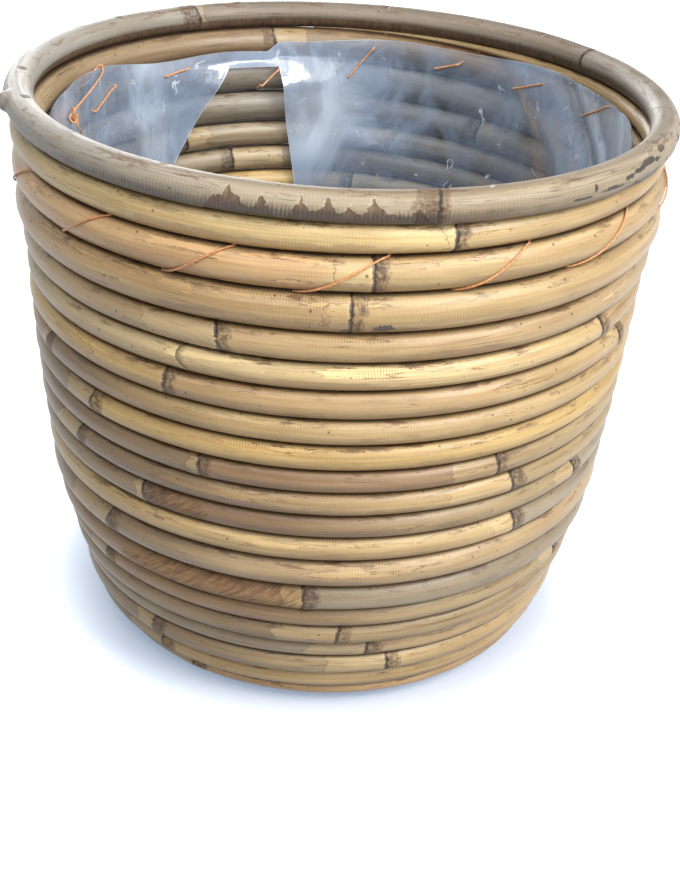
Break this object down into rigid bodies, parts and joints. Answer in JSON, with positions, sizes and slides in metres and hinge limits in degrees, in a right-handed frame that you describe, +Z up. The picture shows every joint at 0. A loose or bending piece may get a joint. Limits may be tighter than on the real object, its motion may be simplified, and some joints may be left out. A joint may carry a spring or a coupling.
{
  "type": "rattan plant basket",
  "caption": "Round tapered plant basket of coiled rattan cane with a heavy rim cane, a plywood base and a clear film liner laced in with thread; holds a plant pot.",
  "frame": {"origin": "middle of the underside of the base panel", "axes": "+Z up along the basket's axis; the pictured front faces -Y"},
  "size_m": [0.2912, 0.2912, 0.2587],
  "materials": {
    "wall_cane": "smooth skin of peeled and natural cane, satin to glossy, with nodes, hairlines and flakes of bark",
    "rim_cane": "weathered grey cane, fine cross checks, torn bark on its lower side",
    "base_panel": "raw plywood",
    "film": "clear wrinkled polythene",
    "thread": "copper-orange twisted synthetic thread, slight sheen",
    "brad": "dull steel wire"
  },
  "bodies": {
    "root": {"rim_cane": "rim_cane", "wall_cane_1": "wall_cane", "wall_cane_2": "wall_cane", "wall_cane_3": "wall_cane", "wall_cane_4": "wall_cane", "wall_cane_5": "wall_cane", "wall_cane_6": "wall_cane", "wall_cane_7": "wall_cane", "base_panel": "base_panel", "film_liner": "film", "lacing_thread": "thread", "rim_brad_01": "brad", "rim_brad_02": "brad", "rim_brad_03": "brad", "rim_brad_04": "brad", "rim_brad_05": "brad", "rim_brad_06": "brad", "rim_brad_07": "brad", "rim_brad_08": "brad", "rim_brad_09": "brad", "rim_brad_10": "brad", "wall_brad_01": "brad", "wall_brad_02": "brad", "wall_brad_03": "brad", "wall_brad_04": "brad", "wall_brad_05": "brad", "wall_brad_06": "brad", "wall_brad_07": "brad", "wall_brad_08": "brad", "wall_brad_09": "brad", "wall_brad_10": "brad", "wall_brad_11": "brad", "wall_brad_12": "brad", "wall_brad_13": "brad", "wall_brad_14": "brad", "wall_brad_15": "brad", "wall_brad_16": "brad", "wall_brad_17": "brad", "wall_brad_18": "brad", "wall_brad_19": "brad", "base_brad_01": "brad", "base_brad_02": "brad", "base_brad_03": "brad", "base_brad_04": "brad", "base_brad_05": "brad", "base_brad_06": "brad", "splice_brad_01": "brad", "splice_brad_02": "brad", "splice_brad_03": "brad", "splice_brad_04": "brad", "splice_brad_05": "brad", "splice_brad_06": "brad"}
  },
  "joints": []
}
